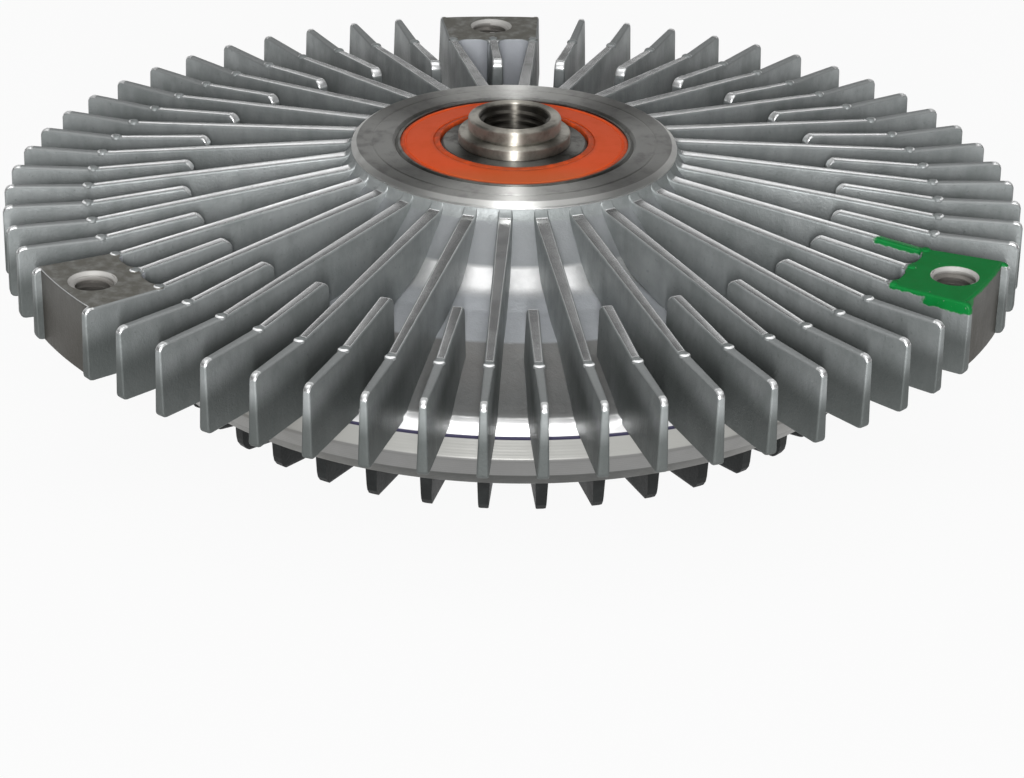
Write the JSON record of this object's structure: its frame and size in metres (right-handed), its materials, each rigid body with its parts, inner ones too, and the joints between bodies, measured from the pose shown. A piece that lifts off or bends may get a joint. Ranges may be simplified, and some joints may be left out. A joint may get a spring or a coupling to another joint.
{
  "type": "viscous fan clutch",
  "caption": "Finned viscous fan clutch with tapped fan pads, a sealed ball bearing, a tapped drive stub and a bimetal valve on its finned front cover.",
  "frame": {"origin": "centre of the plane of the three machined fan pads", "axes": "+Z along the axis of rotation towards the engine side and the drive stub; one fan pad lies on +Y"},
  "size_m": [0.2, 0.1996, 0.0522],
  "materials": {
    "cast_housing": "as-cast, grainy, with machined ring and pads",
    "cast_cover": "as-cast, dark",
    "black_rubber": "matte",
    "ring_steel": "ground",
    "ball_steel": "polished",
    "nylon": "moulded",
    "orange_rubber": "satin moulded",
    "shaft_steel": "turned",
    "turned_aluminium": "turned",
    "spring_steel": "blued",
    "sheet_steel": "zinc plated",
    "fastener_steel": "plated",
    "bimetal": "rolled strip"
  },
  "bodies": {
    "housing": {"rear_housing": "cast_housing", "front_cover": "cast_cover", "cover_seal": "black_rubber", "bearing_outer_ring": "ring_steel", "bearing_rear_seal": "orange_rubber", "bearing_front_seal": "orange_rubber", "separator_plate": "sheet_steel", "plate_screws": "fastener_steel", "pump_wiper": "nylon", "leaf_root": "spring_steel", "valve_rivet": "fastener_steel", "pin_seal": "black_rubber", "bimetal_strip": "bimetal", "strip_clips": "spring_steel", "fill_plug": "fastener_steel"},
    "drive": {"drive_shaft": "shaft_steel", "bearing_inner_ring": "ring_steel", "rotor": "turned_aluminium", "rotor_circlip": "spring_steel"},
    "cage": {"bearing_cage": "nylon", "bearing_balls": "ball_steel"},
    "pin": {"control_pin": "shaft_steel"},
    "valve": {"valve_leaf": "spring_steel"}
  },
  "joints": [
    {"name": "drive_spin", "type": "hinge", "parent": "housing", "child": "drive", "pos_m": [0, 0, 0], "axis": [0, 0, 1], "continuous": true},
    {"name": "cage_spin", "type": "hinge", "parent": "housing", "child": "cage", "pos_m": [0, 0, 0.0014], "axis": [0, 0, 1], "continuous": true},
    {"name": "pin_travel", "type": "slide", "parent": "housing", "child": "pin", "axis": [0, 0, -1], "range_m": [0, 0.0008], "stiffness_N_per_m": 500, "deforming": ["bimetal_strip"]},
    {"name": "valve_swing", "type": "hinge", "parent": "housing", "child": "valve", "pos_m": [-0.016, 0, -0.0229], "axis": [0, 1, 0], "range_deg": [0, 2.9]}
  ],
  "couplings": [
    {"joint": "cage_spin", "follows": "drive_spin", "ratio": 0.38},
    {"joint": "valve_swing", "follows": "pin_travel", "rad_per_m": 62.5}
  ]
}
